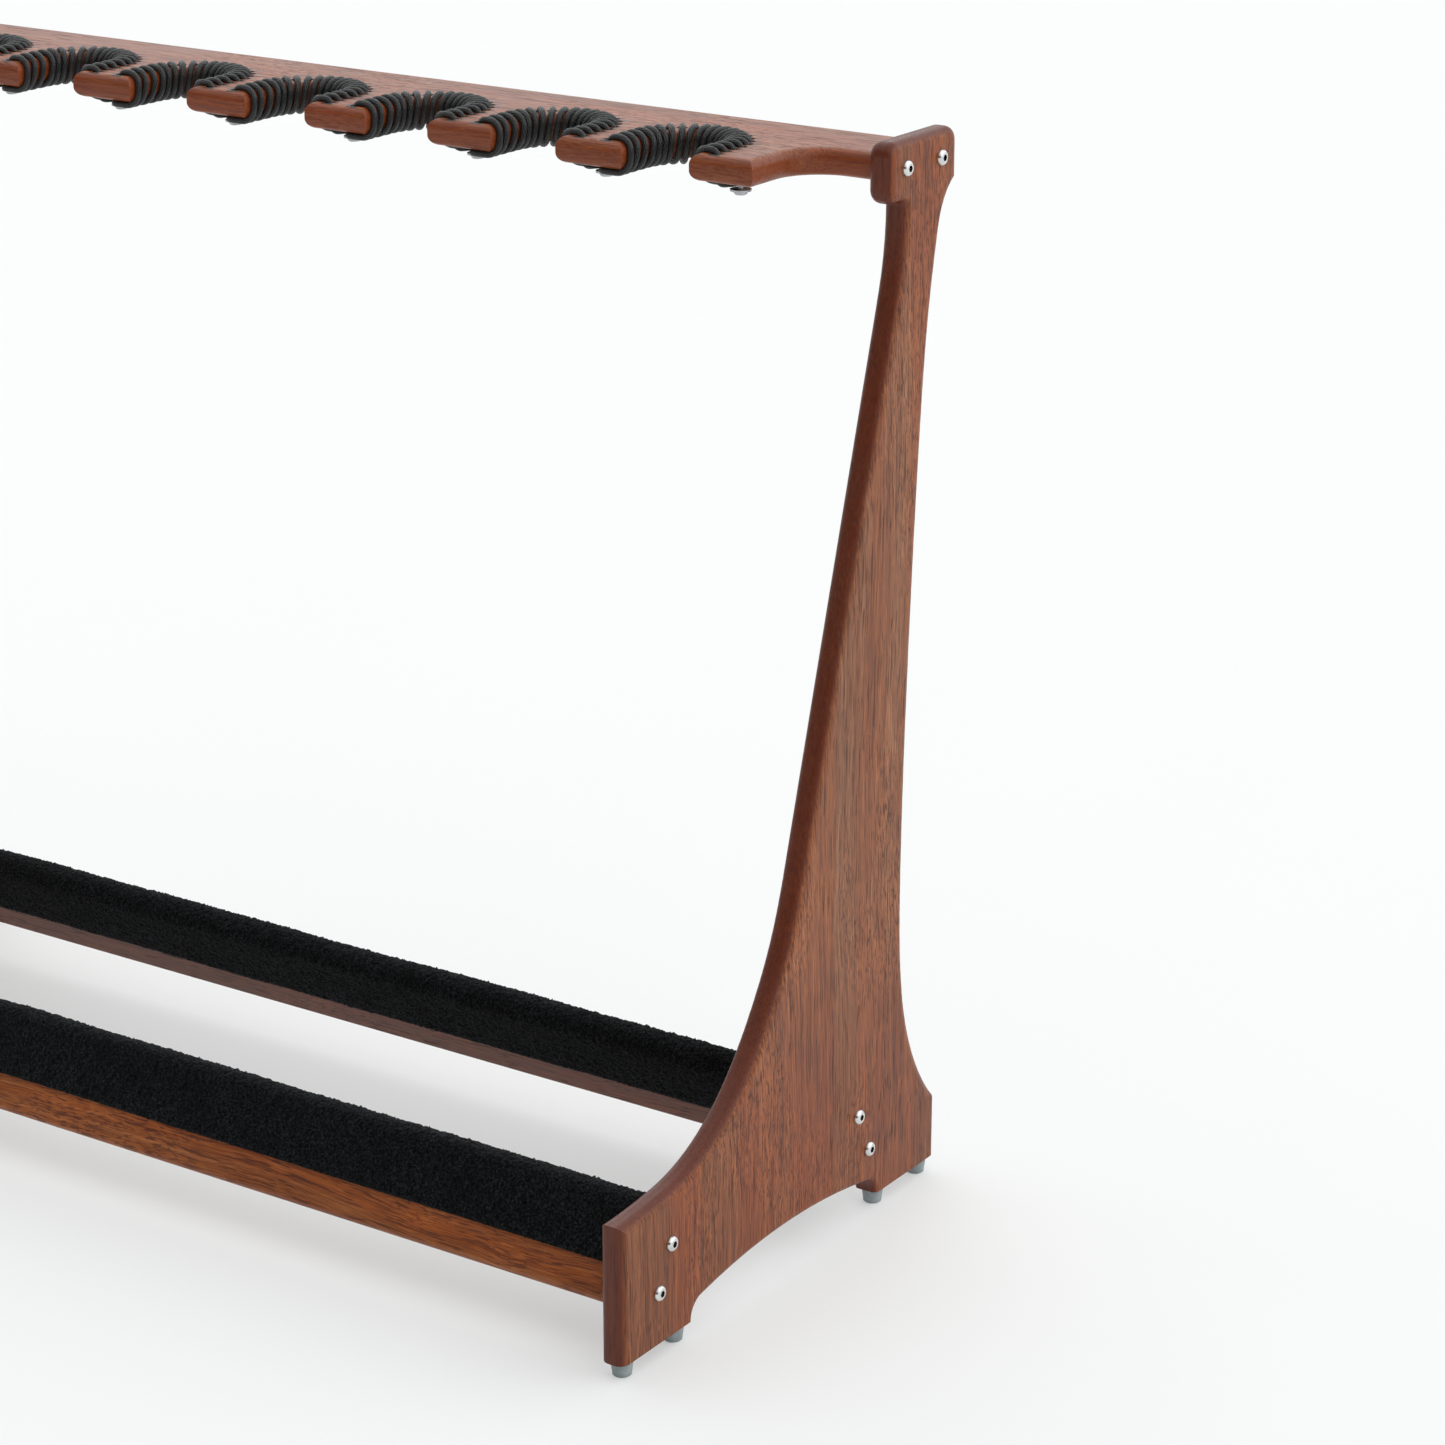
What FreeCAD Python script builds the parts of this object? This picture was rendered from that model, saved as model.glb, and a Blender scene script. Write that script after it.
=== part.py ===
import FreeCAD, Part
import math
import os

# Floor-standing guitar rack: two end panels carry a notched neck board and two padded rails.
# X runs along the rack, Y from the player's side to the back, Z up from the floor.
# Every length is in mm. Y is measured from the middle of the base until a part is saved.

Vector = FreeCAD.Vector
X_AXIS = Vector(1, 0, 0)
Y_AXIS = Vector(0, 1, 0)
Z_AXIS = Vector(0, 0, 1)

# ---------------------------------------------------------------- driving dimensions
STOCK = 18.0                # thickness of every wooden board
NOTCH_COUNT = 7             # one notch holds one guitar neck
NOTCH_PITCH = 104.0
NOTCH_WIDTH = 52.0
END_TO_NOTCH = 141.0        # outer face of an end panel to the middle of the nearest notch
EDGE_ROUND = 6.5            # rounding of the wooden edges
FOOT_HEIGHT = 11.5          # gap between the floor and the end panels
FIT = 0.1                   # radial clearance of metal parts in wood
SOFT_GAP = 0.3              # clearance round cord, foam and plush

LENGTH = 2 * END_TO_NOTCH + (NOTCH_COUNT - 1) * NOTCH_PITCH
OUTER_X = LENGTH / 2
INNER_X = OUTER_X - STOCK

# End panel outline, (Y, Z)
BASE_HALF = 188.0           # half depth of the base
PAD_INNER = 110.5           # inner end of each base pad
ARCH_TOP = 33.8             # crown of the arch between the pads
ARCH_CORNER = 13.0          # radius at both ends of the arch
ARCH_ROUND = 4.0            # rounding of the arch's long edges
FRONT_CURVE = [(-188.0, 107.5), (-150.0, 109.6), (-118.0, 114.6), (-90.0, 125.4),
               (-54.8, 151.0), (-15.5, 201.7), (18.0, 280.0)]
NECK_FRONT_Y = 130.8        # front edge of the upright just below the head
NECK_ARC = 200.0            # gentle bend of the upright below the head
NECK_ARC_SPAN = math.radians(16.0)
HEAD_FRONT_Y = 111.5
HEAD_REAR_Y = 193.5
HEAD_BOTTOM_Z = 693.2
HEAD_TOP_Z = 733.0
HEAD_CORNER = 9.0
HEAD_INSIDE_CORNER = 3.0
REAR_CURVE = [(193.5, 698.5), (185.4, 691.5), (178.4, 680.5), (173.1, 661.9), (165.9, 624.1),
              (157.0, 546.5), (148.5, 426.7), (142.4, 303.0), (140.8, 228.0), (142.3, 173.7),
              (149.8, 126.9), (165.6, 87.6), (188.0, 56.5)]
Y_SHIFT = (BASE_HALF - HEAD_REAR_Y) / 2   # puts Y = 0 in the middle of the overall depth

# Neck board
BOARD_MID_Z = 715.3
BOARD_TOP_Z = BOARD_MID_Z + STOCK / 2
BOARD_BOTTOM_Z = BOARD_MID_Z - STOCK / 2
FINGER_FRONT_Y = 56.0
NOTCH_CENTRE_Y = 90.0       # centre of the round end of a notch
BOARD_BACK_Y = 180.0
END_WEB_Y = 119.0           # front edge of the board beside an end panel
END_FINGER_SIDE = 67.3      # outer side of the last finger, from the panel's outer face
END_SWEEP = 28.0            # radius between the last finger and the end web
BOARD_ROUND = 7.0
NECK_BOLT_Y = (130.0, 171.9)

# Elastic cord stitched round every notch
CORD_R = 2.2
CORD_HOLES = 21
HOLE_R = 2.7
HOLE_SINK = 1.3             # countersink at both mouths of a hole
HOLE_INSET = 15.5           # hole centres, in from the edge of the notch
FIRST_HOLE_Y = 65.5
CORD_BEND = 4.6             # radius of the cord's bend at the mouth of a hole
BEND_STEPS = 4
SWING_STEPS = 6
TAIL_STEP = 4.5             # the first tail runs this far in front of the first hole
TAIL_SIDE = 4.8             # a tail passes the clamp screw this far to its side
TAIL_TURN = 4.4             # radius where the first tail turns in under the finger
TAIL_SPACING = 2.5
TAIL_OVERRUN = 5.0          # cord left beyond the clamp screw
CLAMP_X = NOTCH_PITCH / 2   # clamp screws, to each side of a notch
CLAMP_Y = 76.0
CLAMP_SCREW_R = 1.75
CLAMP_HEAD_R = 4.4
WASHER_R = 7.0
WASHER_THICK = 1.2

# Padded rails: centre (Y, Z) of each section, lean from the vertical and section sizes
RAIL_LEAN = math.radians(25.5)
FRONT_RAIL_CENTRE = (-142.0, 62.0)
REAR_RAIL_CENTRE = (93.0, 64.0)
RAIL_HALF = 31.5
RAIL_ROUND = 3.8
RAIL_BOLT_HALF = 16.0
PLUSH_START = -6.5          # lower edge of the plush, up from the middle of the rail
PLUSH_THICK = 3.3
PAD_RISE = 7.8              # foam standing on the top edge of the rail
PAD_SHOULDER = 2.5          # straight side of the foam before it rounds over

# Button-head bolts with threaded inserts in the end grain
BOLT_R = 3.0
BOLT_LENGTH = 38.0
BOLT_HEAD_R = 5.25
BOLT_HEAD_H = 3.3
BOLT_HEAD_RIM = 0.6
BOLT_FLAT_R = 2.9
SOCKET_FLATS = 4.0
SOCKET_DEPTH = 2.8
INSERT_R = 5.0
INSERT_CORE_R = 4.4
INSERT_LENGTH = 18.0
INSERT_RIDGES = 6
INSERT_DEPTH = 1.0          # inserts sit just below the end grain
BORE_LENGTH = 30.0
BOLT_PLAY = 0.25

# Rubber feet
FOOT_Y = (-176.5, -120.5, 120.5, 176.5)
FOOT_TOP_R = 7.5
FOOT_BOTTOM_R = 6.0
FOOT_EDGE = 0.8
FOOT_RECESS_R = 3.6
FOOT_RECESS = 5.0
FOOT_SCREW_R = 1.75
FOOT_SCREW_HEAD_R = 3.2
FOOT_SCREW_HEAD = 2.4
FOOT_SCREW_TIP_Z = 32.0
SCREW_TIP = 3.0

notch_xs = [(i - (NOTCH_COUNT - 1) / 2) * NOTCH_PITCH for i in range(NOTCH_COUNT)]
clamp_xs = [notch_xs[0] - CLAMP_X] + [x + CLAMP_X for x in notch_xs]


# ---------------------------------------------------------------- helpers
def line(a, b):
    return Part.makeLine(a, b)


def arc(a, via, b):
    return Part.Arc(a, via, b).toShape()


def spline(points, start=None, end=None):
    curve = Part.BSplineCurve()
    if start is None:
        curve.interpolate(points)
    else:
        curve.interpolate(points, InitialTangent=start, FinalTangent=end)
    return curve.toShape()


def polar(centre, radius, angle, across, up):
    return centre + across * (radius * math.cos(angle)) + up * (radius * math.sin(angle))


def prism(edges, direction):
    face = Part.Face(Part.Wire(Part.__sortEdges__(edges)))
    return face.extrude(direction)


def turned(profile, axis_point, axis):
    """Solid of revolution from (radius, height) pairs; height runs along the axis."""
    side = axis.cross(Y_AXIS)
    if side.Length < 0.5:
        side = axis.cross(Z_AXIS)
    side.normalize()
    points = [axis_point + side * r + axis * h for r, h in profile]
    face = Part.Face(Part.makePolygon(points + points[:1]))
    return face.revolve(axis_point, axis, 360)


def save(name, shapes):
    """Write one named part; identical pieces are saved together as separate solids."""
    shape = shapes[0] if len(shapes) == 1 else Part.makeCompound(shapes)
    shape = shape.copy()
    shape.translate(Vector(0, Y_SHIFT, 0))
    shape.exportStep("parts/" + name + ".step")


# ---------------------------------------------------------------- fasteners
def socket_bolt(seat, inward):
    """Button-head bolt: seat is the point under the head, inward the way it screws."""
    outward = inward * -1
    head = [(0, 0), (BOLT_HEAD_R, 0), (BOLT_HEAD_R, BOLT_HEAD_RIM)]
    steps = 6
    for i in range(1, steps):
        turn = math.pi / 2 * i / steps
        r = BOLT_FLAT_R + (BOLT_HEAD_R - BOLT_FLAT_R) * math.cos(turn)
        h = BOLT_HEAD_RIM + (BOLT_HEAD_H - BOLT_HEAD_RIM) * math.sin(turn)
        head.append((r, h))
    head += [(BOLT_FLAT_R, BOLT_HEAD_H), (0, BOLT_HEAD_H)]
    dome = turned(head, seat, outward)
    shank = Part.makeCylinder(BOLT_R, BOLT_LENGTH, seat, inward)
    corner = SOCKET_FLATS / math.sqrt(3)
    floor = seat + outward * (BOLT_HEAD_H - SOCKET_DEPTH)
    corners = [polar(floor, corner, math.radians(60 * i), Y_AXIS, Z_AXIS) for i in range(7)]
    socket = Part.Face(Part.makePolygon(corners)).extrude(outward * BOLT_HEAD_H)
    return dome.fuse(shank).cut(socket).removeSplitter()


def insert(mouth, inward):
    """Threaded insert: a tube with shallow ridges, open at both ends."""
    pitch = INSERT_LENGTH / INSERT_RIDGES
    profile = [(BOLT_R + BOLT_PLAY, 0)]
    for i in range(INSERT_RIDGES):
        profile.append((INSERT_CORE_R, i * pitch))
        profile.append((INSERT_R, (i + 0.4) * pitch))
        profile.append((INSERT_R, (i + 0.6) * pitch))
    profile.append((INSERT_CORE_R, INSERT_LENGTH))
    profile.append((BOLT_R + BOLT_PLAY, INSERT_LENGTH))
    return turned(profile, mouth + inward * INSERT_DEPTH, inward)


def wood_screw(head_base, up, head_r, head_h, shank_r, length):
    """Pan-head screw: head_base is the outer face of the head, up the way it screws."""
    chamfer = head_h / 3
    profile = [(0, 0), (head_r - chamfer, 0), (head_r, chamfer), (head_r, head_h),
               (shank_r, head_h), (shank_r, length - SCREW_TIP), (0, length)]
    return turned(profile, head_base, up)


def bolt_points():
    """(Y, Z) of every bolt in an end panel, grouped by the board it holds."""
    neck = [(y, BOARD_MID_Z) for y in NECK_BOLT_Y]
    front = [rail_point("front", 0, s) for s in (-RAIL_BOLT_HALF, RAIL_BOLT_HALF)]
    rear = [rail_point("rear", 0, s) for s in (-RAIL_BOLT_HALF, RAIL_BOLT_HALF)]
    return {"neck_board": neck, "front_rail": front, "rear_rail": rear}


def end_bores(points):
    """Bores for the inserts in both ends of a board."""
    bores = []
    for y, z in points:
        for side in (-1, 1):
            mouth = Vector(side * INNER_X, y, z)
            bores.append(Part.makeCylinder(INSERT_R + FIT, BORE_LENGTH, mouth, X_AXIS * -side))
    return bores


# ---------------------------------------------------------------- end panels
def panel_outline():
    """Closed outline in the plane X = 0; also returns which pieces stay square-edged."""
    def at(y, z):
        return Vector(0, y, z)

    def corner(y, z, radius, start, span):
        mid = polar(at(y, z), radius, math.radians(start + span / 2), Y_AXIS, Z_AXIS)
        a = polar(at(y, z), radius, math.radians(start), Y_AXIS, Z_AXIS)
        b = polar(at(y, z), radius, math.radians(start + span), Y_AXIS, Z_AXIS)
        return a, b, arc(a, mid, b)

    edges = []
    front_top = at(*FRONT_CURVE[0])
    edges.append(line(at(-BASE_HALF, FOOT_HEIGHT), front_top))

    bend_centre = at(NECK_FRONT_Y - NECK_ARC, HEAD_BOTTOM_Z - HEAD_INSIDE_CORNER)
    bend_end = at(NECK_FRONT_Y, HEAD_BOTTOM_Z - HEAD_INSIDE_CORNER)
    bend_mid = polar(bend_centre, NECK_ARC, -NECK_ARC_SPAN / 2, Y_AXIS, Z_AXIS)
    bend_start = polar(bend_centre, NECK_ARC, -NECK_ARC_SPAN, Y_AXIS, Z_AXIS)
    curve_end = at(*FRONT_CURVE[-1])
    rise = bend_start - curve_end
    edges.append(spline([at(y, z) for y, z in FRONT_CURVE], Y_AXIS, rise.normalize()))
    edges.append(line(curve_end, bend_start))
    edges.append(arc(bend_start, bend_mid, bend_end))

    r = HEAD_INSIDE_CORNER
    a, b, piece = corner(NECK_FRONT_Y - r, HEAD_BOTTOM_Z - r, r, 0, 90)
    edges.append(piece)
    r = HEAD_CORNER
    c, d, piece = corner(HEAD_FRONT_Y + r, HEAD_BOTTOM_Z + r, r, 270, -90)
    edges += [line(b, c), piece]
    e, f, piece = corner(HEAD_FRONT_Y + r, HEAD_TOP_Z - r, r, 180, -90)
    edges += [line(d, e), piece]
    g, h, piece = corner(HEAD_REAR_Y - r, HEAD_TOP_Z - r, r, 90, -90)
    edges += [line(f, g), piece]
    rear_top = at(*REAR_CURVE[0])
    rear_base = at(*REAR_CURVE[-1])
    edges.append(line(h, rear_top))
    edges.append(spline([at(y, z) for y, z in REAR_CURVE]))
    edges.append(line(rear_base, at(BASE_HALF, FOOT_HEIGHT)))

    edges.append(line(at(BASE_HALF, FOOT_HEIGHT), at(PAD_INNER, FOOT_HEIGHT)))
    run = PAD_INNER - ARCH_CORNER
    rise = ARCH_TOP - FOOT_HEIGHT
    crown = (run ** 2 + rise ** 2 - ARCH_CORNER ** 2) / (2 * (rise - ARCH_CORNER))
    crown_centre = at(0, ARCH_TOP - crown)
    join = math.atan2(FOOT_HEIGHT - crown_centre.z, run)
    for side in (1, -1):
        across = Y_AXIS * side
        small = at(side * run, FOOT_HEIGHT)
        a = polar(small, ARCH_CORNER, 0, across, Z_AXIS)
        mid = polar(small, ARCH_CORNER, join / 2, across, Z_AXIS)
        b = polar(small, ARCH_CORNER, join, across, Z_AXIS)
        edges.append(arc(a, mid, b))
    ends = [polar(crown_centre, crown, join, Y_AXIS * side, Z_AXIS) for side in (1, -1)]
    edges.append(arc(ends[0], at(0, ARCH_TOP), ends[1]))
    edges.append(line(at(-PAD_INNER, FOOT_HEIGHT), at(-BASE_HALF, FOOT_HEIGHT)))
    return edges


def end_panel():
    """Right-hand panel, from its inner face to its outer face."""
    blank = prism(panel_outline(), X_AXIS * STOCK)
    blank.translate(Vector(INNER_X, 0, 0))
    rounded = []
    under_arch = []
    for edge in blank.Edges:
        box = edge.BoundBox
        if box.XLength > STOCK / 2:
            continue
        if box.ZMax < FOOT_HEIGHT + FIT:
            continue
        if box.ZMax < ARCH_TOP + FIT:
            under_arch.append(edge)
        else:
            rounded.append(edge)
    panel = blank.makeFillet(EDGE_ROUND, rounded)
    panel = panel.makeFillet(ARCH_ROUND, under_arch)
    cuts = []
    for points in bolt_points().values():
        for y, z in points:
            start = Vector(INNER_X - FIT, y, z)
            cuts.append(Part.makeCylinder(BOLT_R + BOLT_PLAY, STOCK + 2 * FIT, start, X_AXIS))
    for y in FOOT_Y:
        start = Vector(OUTER_X - STOCK / 2, y, FOOT_HEIGHT - FIT)
        depth = FOOT_SCREW_TIP_Z - start.z + 1
        cuts.append(Part.makeCylinder(FOOT_SCREW_R + FIT, depth, start, Z_AXIS))
    return panel.cut(cuts)


# ---------------------------------------------------------------- neck board
def board_outline():
    """Closed outline of the neck board in the plane Z = 0."""
    def at(x, y):
        return Vector(x, y, 0)

    half = NOTCH_WIDTH / 2
    finger_side = OUTER_X - END_FINGER_SIDE
    edges = [line(at(-INNER_X, BOARD_BACK_Y), at(INNER_X, BOARD_BACK_Y))]
    for side in (-1, 1):
        web_end = at(side * (finger_side + END_SWEEP), END_WEB_Y)
        sweep_end = at(side * finger_side, END_WEB_Y - END_SWEEP)
        centre = at(side * (finger_side + END_SWEEP), END_WEB_Y - END_SWEEP)
        mid = polar(centre, END_SWEEP, math.radians(135), X_AXIS * side, Y_AXIS)
        edges.append(line(at(side * INNER_X, BOARD_BACK_Y), at(side * INNER_X, END_WEB_Y)))
        edges.append(line(at(side * INNER_X, END_WEB_Y), web_end))
        edges.append(arc(web_end, mid, sweep_end))
        edges.append(line(sweep_end, at(side * finger_side, FINGER_FRONT_Y)))
    tips = [-finger_side]
    for x in notch_xs:
        tips += [x - half, x + half]
        left = at(x - half, NOTCH_CENTRE_Y)
        right = at(x + half, NOTCH_CENTRE_Y)
        edges.append(line(at(x - half, FINGER_FRONT_Y), left))
        edges.append(arc(left, at(x, NOTCH_CENTRE_Y + half), right))
        edges.append(line(right, at(x + half, FINGER_FRONT_Y)))
    tips.append(finger_side)
    for a, b in zip(tips[0::2], tips[1::2]):
        edges.append(line(at(a, FINGER_FRONT_Y), at(b, FINGER_FRONT_Y)))
    return edges


HOLE_LINE_R = NOTCH_WIDTH / 2 + HOLE_INSET
HOLE_LEG = NOTCH_CENTRE_Y - FIRST_HOLE_Y
HOLE_LINE = 2 * HOLE_LEG + math.pi * HOLE_LINE_R
HOLE_STEP = HOLE_LINE / (CORD_HOLES - 1)


def hole_frame(s):
    """Point on the line of holes at distance s, with the direction towards the notch."""
    if s < HOLE_LEG:
        return Vector(-HOLE_LINE_R, FIRST_HOLE_Y + s, 0), X_AXIS
    if s > HOLE_LINE - HOLE_LEG:
        return Vector(HOLE_LINE_R, FIRST_HOLE_Y + HOLE_LINE - s, 0), X_AXIS * -1
    turn = math.pi - (s - HOLE_LEG) / HOLE_LINE_R
    out = Vector(math.cos(turn), math.sin(turn), 0)
    return Vector(0, NOTCH_CENTRE_Y, 0) + out * HOLE_LINE_R, out * -1


def neck_board():
    blank = prism(board_outline(), Z_AXIS * STOCK)
    blank.translate(Vector(0, 0, BOARD_BOTTOM_Z))
    rounded = []
    for edge in blank.Edges:
        box = edge.BoundBox
        if box.ZLength > STOCK / 2:
            continue
        if box.XLength < FIT and abs(edge.CenterOfMass.x) > INNER_X - FIT:
            continue
        rounded.append(edge)
    board = blank.makeFillet(BOARD_ROUND, rounded)
    cuts = end_bores(bolt_points()["neck_board"])
    wide = HOLE_R + HOLE_SINK + 1
    bore = [(0, -1), (wide, -1), (HOLE_R, HOLE_SINK), (HOLE_R, STOCK - HOLE_SINK),
            (wide, STOCK + 1), (0, STOCK + 1)]
    for x in notch_xs:
        for i in range(CORD_HOLES):
            point, _ = hole_frame(i * HOLE_STEP)
            cuts.append(turned(bore, point + Vector(x, 0, BOARD_BOTTOM_Z), Z_AXIS))
    for x in clamp_xs:
        start = Vector(x, CLAMP_Y, BOARD_BOTTOM_Z - 1)
        cuts.append(Part.makeCylinder(CLAMP_SCREW_R + FIT, STOCK * 2 / 3, start, Z_AXIS))
    return board.cut(cuts)


# ---------------------------------------------------------------- neck cord
def loop_section():
    """(n, z) stations from the underside of a hole, round the edge, to the next hole's top.

    n is the distance from the hole towards the notch; the last value says how much of the
    step to the next hole has been taken.
    """
    lift = CORD_R + SOFT_GAP
    swing = BOARD_ROUND + lift
    knee = HOLE_INSET - BOARD_ROUND
    low = BOARD_BOTTOM_Z
    high = BOARD_TOP_Z
    dip = CORD_BEND - lift

    def bend(i):
        turn = math.pi / 2 * i / BEND_STEPS
        return CORD_BEND * (1 - math.cos(turn)), CORD_BEND * math.sin(turn)

    def sweep(i):
        turn = math.pi / 2 * i / SWING_STEPS
        return knee + swing * math.sin(turn), swing * math.cos(turn)

    entry = [bend(i) for i in range(BEND_STEPS + 1)]
    quarter = [sweep(i) for i in range(SWING_STEPS + 1)]
    between = (CORD_BEND + knee) / 2
    side = [(n, low + BOARD_ROUND - drop) for n, drop in quarter]
    side.append((knee + swing, BOARD_MID_Z))
    side += [(n, high - BOARD_ROUND + drop) for n, drop in reversed(quarter)]
    stations = [(0, low + dip + CORD_BEND / 2, 0)]
    stations += [(n, low + dip - drop, 0) for n, drop in entry]
    stations.append((between, low - lift, 0))
    stations += [(n, z, i / (len(side) - 1)) for i, (n, z) in enumerate(side)]
    stations.append((between, high + lift, 1))
    stations += [(n, high - dip + drop, 1) for n, drop in reversed(entry)]
    stations.append((0, high - dip - CORD_BEND / 2, 1))
    return stations


def steps_between(start, end, spacing):
    """Evenly spaced values from start up to, but not including, end."""
    count = round(abs(end - start) / spacing)
    return [start + (end - start) * i / count for i in range(count)]


def first_tail():
    """(x, y) points from beside the clamp screw, round the first hole, to the notch."""
    side = TAIL_SIDE - CLAMP_X
    front = FIRST_HOLE_Y - TAIL_STEP
    centre = Vector(side + TAIL_TURN, front + TAIL_TURN, 0)
    back = CLAMP_Y + TAIL_OVERRUN
    points = [(side, y) for y in steps_between(back, centre.y, TAIL_SPACING)]
    for i in range(BEND_STEPS):
        turn = math.pi / 2 * (2 + i / BEND_STEPS)
        on_arc = polar(centre, TAIL_TURN, turn, X_AXIS, Y_AXIS)
        points.append((on_arc.x, on_arc.y))
    edge = BOARD_ROUND - HOLE_INSET + HOLE_LINE_R
    points += [(x, front) for x in steps_between(centre.x, -edge, TAIL_SPACING)]
    return points


def last_tail():
    """(direction, reach) from the last hole to the far side of the clamp screw."""
    across = Vector(CLAMP_X - TAIL_SIDE - HOLE_LINE_R, CLAMP_Y - FIRST_HOLE_Y, 0)
    reach = across.Length + TAIL_OVERRUN
    return across.normalize(), reach


def cord_route():
    """Centre line of one cord; both ends lie under the clamp washers of the two fingers."""
    def at(s, n, z):
        point, inward = hole_frame(s)
        return Vector(point.x, point.y, z) + inward * n

    tail_z = BOARD_BOTTOM_Z - CORD_R - SOFT_GAP
    loop = loop_section()
    first_side = BEND_STEPS + 3
    route = [Vector(x, y, tail_z) for x, y in first_tail()]
    for n, z, share in loop[first_side:]:
        route.append(at(-TAIL_STEP * (1 - share), n, z))
    for hole in range(CORD_HOLES - 1):
        route.append(at(hole * HOLE_STEP, 0, BOARD_MID_Z))
        for n, z, share in loop:
            route.append(at((hole + share) * HOLE_STEP, n, z))
    route.append(at(HOLE_LINE, 0, BOARD_MID_Z))
    last_hole, _ = hole_frame(HOLE_LINE)
    heading, reach = last_tail()
    for n, z, _ in loop[:BEND_STEPS + 2]:
        route.append(last_hole + heading * n + Z_AXIS * z)
    for n in steps_between(CORD_BEND + TAIL_SPACING, reach, TAIL_SPACING):
        route.append(last_hole + heading * n + Z_AXIS * tail_z)
    return route


def round_bar(route, radius):
    """Solid of round section that follows the route with an evenly turning frame."""
    count = len(route)
    headings = []
    for i in range(count):
        before = route[max(i - 1, 0)]
        after = route[min(i + 1, count - 1)]
        headings.append((after - before).normalize())
    side = headings[0].cross(Z_AXIS).normalize()
    rings = []
    for point, heading in zip(route, headings):
        side = (side - heading * side.dot(heading)).normalize()
        other = heading.cross(side)
        ring = []
        for i in range(9):
            reach = radius if i % 2 == 0 else radius * math.sqrt(2)
            ring.append(polar(point, reach, math.radians(45 * i), side, other))
        rings.append(ring)
    weights = [[1 if i % 2 == 0 else math.sqrt(0.5) for i in range(9)] for _ in route]
    spans = count - 3
    surface = Part.BSplineSurface()
    surface.buildFromPolesMultsKnots(rings, [4] + [1] * (spans - 1) + [4], [3, 2, 2, 2, 3],
                                     list(range(spans + 1)), [0, 1, 2, 3, 4],
                                     False, False, 3, 2, weights)
    skin = surface.toShape()
    faces = [skin]
    for end in (0, spans):
        faces.append(Part.Face(Part.Wire(surface.uIso(end).toShape())))
    shell = Part.makeShell(faces)
    shell.sewShape()
    return Part.makeSolid(shell)


# ---------------------------------------------------------------- padded rails
def rail_point(which, q, s):
    """(Y, Z) in a rail section: q out through its front face, s up along the board."""
    y, z = FRONT_RAIL_CENTRE if which == "front" else REAR_RAIL_CENTRE
    lean = RAIL_LEAN if which == "front" else -RAIL_LEAN
    return (y + s * math.sin(lean) - q * math.cos(lean),
            z + s * math.cos(lean) + q * math.sin(lean))


def rail_prism(which, sides, half_length):
    """Prism along X. Sides are two (q, s) pairs for a line or three for an arc."""
    edges = []
    for side in sides:
        points = [Vector(-half_length, *rail_point(which, q, s)) for q, s in side]
        edges.append(line(*points) if len(points) == 2 else arc(*points))
    return prism(edges, X_AXIS * (2 * half_length))


def rail_board(which):
    q = STOCK / 2
    s = RAIL_HALF
    r = RAIL_ROUND
    k = r * (1 - math.sqrt(0.5))
    sides = [[(-q, s), (q, s)], [(q, s), (q, r - s)],
             [(q, r - s), (q - k, k - s), (q - r, -s)], [(q - r, -s), (r - q, -s)],
             [(r - q, -s), (k - q, k - s), (-q, r - s)], [(-q, r - s), (-q, s)]]
    board = rail_prism(which, sides, INNER_X)
    return board.cut(end_bores(bolt_points()[which + "_rail"]))


def rail_foam(which):
    q = STOCK / 2 - FIT
    base = RAIL_HALF + SOFT_GAP
    shoulder = base + PAD_SHOULDER
    sides = [[(-q, base), (q, base)], [(q, base), (q, shoulder)],
             [(q, shoulder), (0, base + PAD_RISE), (-q, shoulder)],
             [(-q, shoulder), (-q, base)]]
    return rail_prism(which, sides, INNER_X - SOFT_GAP)


def rail_plush(which):
    inner_q = STOCK / 2 + SOFT_GAP
    outer_q = inner_q + PLUSH_THICK
    low = PLUSH_START
    shoulder = RAIL_HALF + SOFT_GAP + PAD_SHOULDER
    inner_top = RAIL_HALF + 2 * SOFT_GAP + PAD_RISE
    outer_top = inner_top + PLUSH_THICK
    sides = [[(outer_q, low), (outer_q, shoulder)],
             [(outer_q, shoulder), (0, outer_top), (-outer_q, shoulder)],
             [(-outer_q, shoulder), (-outer_q, low)], [(-outer_q, low), (-inner_q, low)],
             [(-inner_q, low), (-inner_q, shoulder)],
             [(-inner_q, shoulder), (0, inner_top), (inner_q, shoulder)],
             [(inner_q, shoulder), (inner_q, low)], [(inner_q, low), (outer_q, low)]]
    return rail_prism(which, sides, INNER_X - SOFT_GAP)


# ---------------------------------------------------------------- feet
def foot(x, y):
    profile = [(FOOT_SCREW_R + FIT, FOOT_HEIGHT), (FOOT_TOP_R - FOOT_EDGE, FOOT_HEIGHT),
               (FOOT_TOP_R, FOOT_HEIGHT - FOOT_EDGE), (FOOT_BOTTOM_R + FOOT_EDGE / 4, FOOT_EDGE),
               (FOOT_BOTTOM_R - FOOT_EDGE, 0), (FOOT_RECESS_R, 0),
               (FOOT_RECESS_R, FOOT_RECESS), (FOOT_SCREW_R + FIT, FOOT_RECESS)]
    return turned(profile, Vector(x, y, 0), Z_AXIS)


def foot_screw(x, y):
    head_base = Vector(x, y, FOOT_RECESS - FOOT_SCREW_HEAD)
    length = FOOT_SCREW_TIP_Z - head_base.z
    return wood_screw(head_base, Z_AXIS, FOOT_SCREW_HEAD_R, FOOT_SCREW_HEAD, FOOT_SCREW_R, length)


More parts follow.
